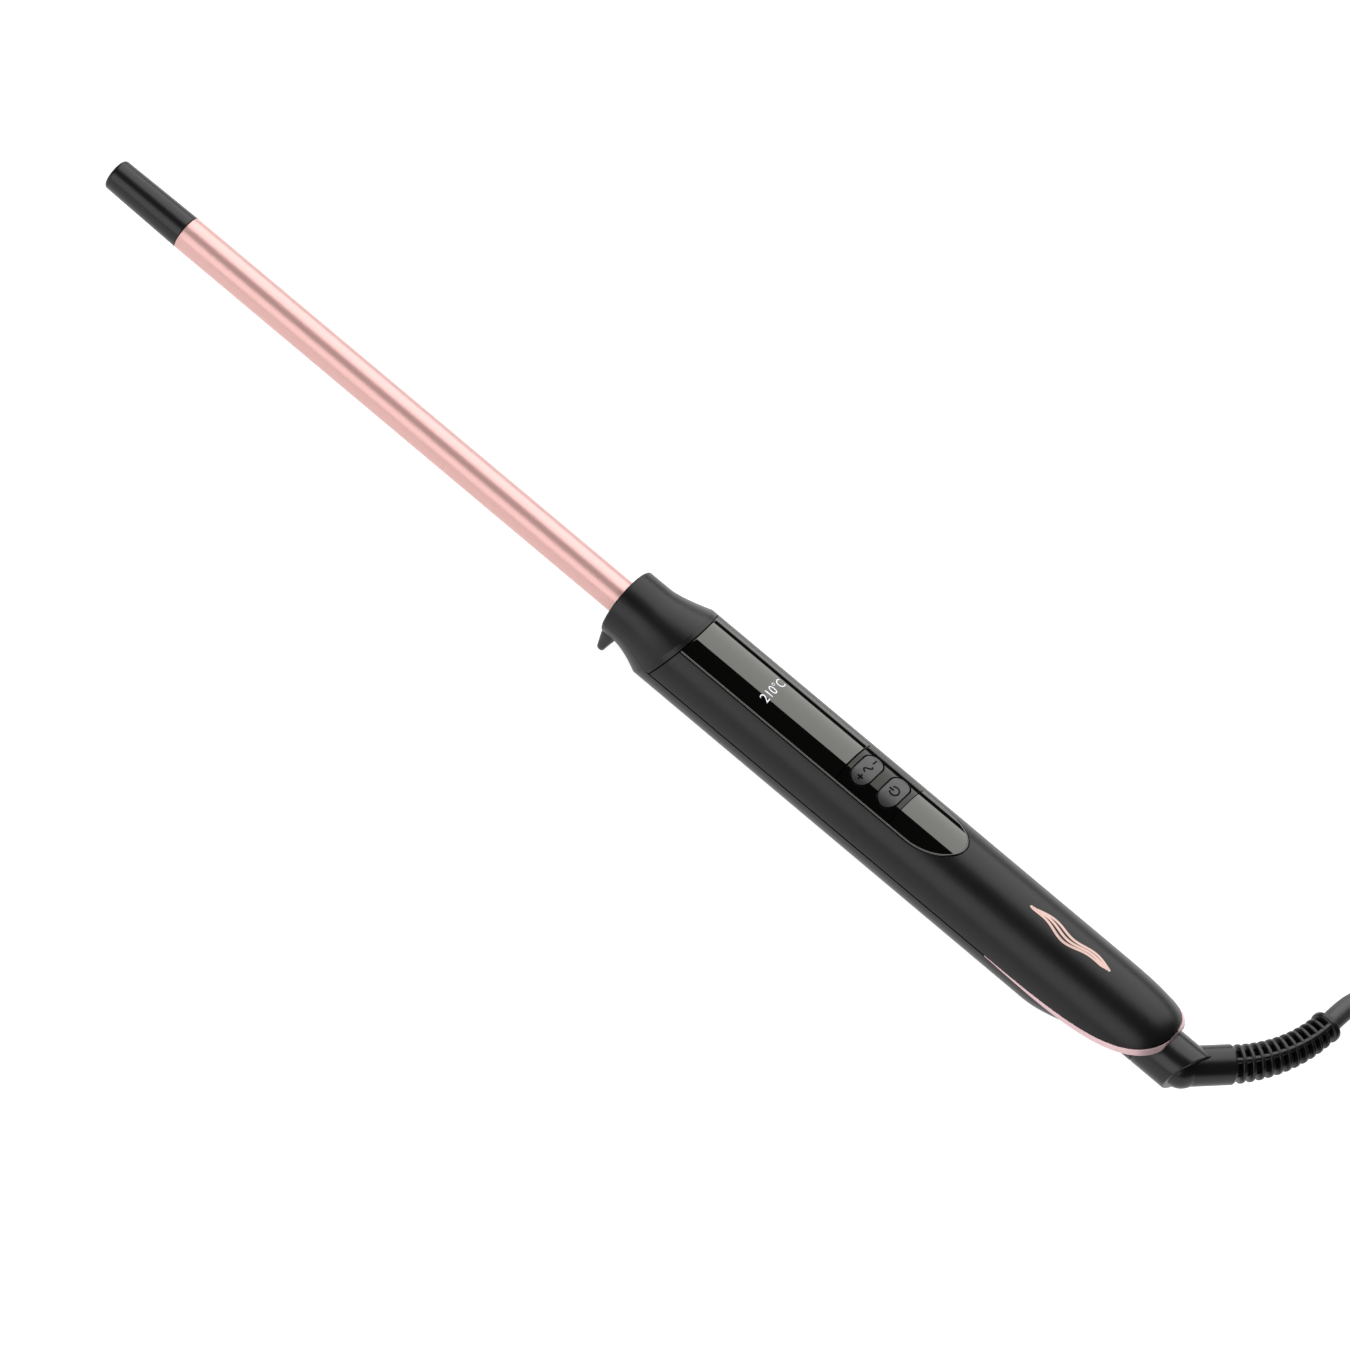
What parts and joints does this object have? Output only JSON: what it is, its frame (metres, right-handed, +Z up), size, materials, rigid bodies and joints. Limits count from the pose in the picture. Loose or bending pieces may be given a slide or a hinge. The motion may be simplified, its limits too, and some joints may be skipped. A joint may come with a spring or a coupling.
{
  "type": "curling wand",
  "caption": "Slim hair-curling wand with a straight 10 mm heated barrel, digital control panel, two push buttons, stand legs and a swivelling mains cord.",
  "frame": {"origin": "centre of the wand's footprint, on the surface it lies on, without its cord", "axes": "+X along the wand to its rear, +Y to the side where the cord lies, +Z up"},
  "size_m": [0.573, 0.0862, 0.0393],
  "materials": {
    "rose_coating": "satin rose-gold coating",
    "rose_trim": "satin rose-gold plating",
    "soft_black": "soft-touch matte black",
    "gloss_black": "high-gloss black",
    "button_black": "satin black",
    "swivel_black": "semi-gloss black",
    "cord_rubber": "smooth black cord sheath",
    "plug_black": "moulded black plug",
    "pin_metal": "nickel-plated brass",
    "brass": "satin brass",
    "steel": "zinc-plated steel",
    "aluminium": "mill finish",
    "ceramic": "ceramic white",
    "board_green": "solder-masked board",
    "lead_red": "red insulation",
    "lead_blue": "blue insulation",
    "inner_black": "moulded black"
  },
  "bodies": {
    "handle": {"barrel_insulator": "ceramic", "barrel_tube": "rose_coating", "board_connector": "ceramic", "button_bezel": "gloss_black", "capacitor": "lead_blue", "contact_live": "brass", "contact_neutral": "brass", "control_board": "board_green", "cool_tip": "soft_black", "cord_hank": "cord_rubber", "cord_lead": "cord_rubber", "cord_tail": "cord_rubber", "cord_tie": "cord_rubber", "display_module": "inner_black", "front_lens": "gloss_black", "heater_element": "ceramic", "heater_lead_a": "lead_red", "heater_lead_b": "lead_blue", "heater_spreader_lower": "aluminium", "heater_spreader_upper": "aluminium", "housing_screw_1": "steel", "housing_screw_2": "steel", "housing_screw_3": "steel", "lower_housing": "soft_black", "mains_lead_live": "lead_red", "mains_lead_neutral": "lead_blue", "nose_cover": "soft_black", "plug_body": "plug_black", "plug_pin_left": "pin_metal", "plug_pin_right": "pin_metal", "power_switch_body": "steel", "rear_lens": "gloss_black", "sensor_lead": "lead_blue", "swivel_bush": "ceramic", "temp_switch_body": "steel", "temperature_sensor": "ceramic", "thermal_fuse": "steel", "triac": "inner_black", "trim_band": "rose_trim", "upper_housing": "soft_black"},
    "swivel": {"elbow_relief": "swivel_black", "swivel_spindle": "inner_black", "slip_ring_live": "brass", "slip_ring_neutral": "brass", "retaining_clip": "steel"},
    "temp_button": {"temp_button_cap": "button_black", "temp_switch_plunger": "inner_black"},
    "power_button": {"power_button_cap": "button_black", "power_switch_plunger": "inner_black"}
  },
  "joints": [
    {"name": "cord_swivel", "type": "hinge", "parent": "handle", "child": "swivel", "pos_m": [0.1813, 0, 0.0132], "axis": [1, 0, 0], "continuous": true},
    {"name": "temp_button_press", "type": "slide", "parent": "handle", "child": "temp_button", "axis": [0, 0, -1], "range_m": [0, 0.0006], "stiffness_N_per_m": 400, "springref_m": -0.0005},
    {"name": "power_button_press", "type": "slide", "parent": "handle", "child": "power_button", "axis": [0, 0, -1], "range_m": [0, 0.0006], "stiffness_N_per_m": 400, "springref_m": -0.0005}
  ]
}
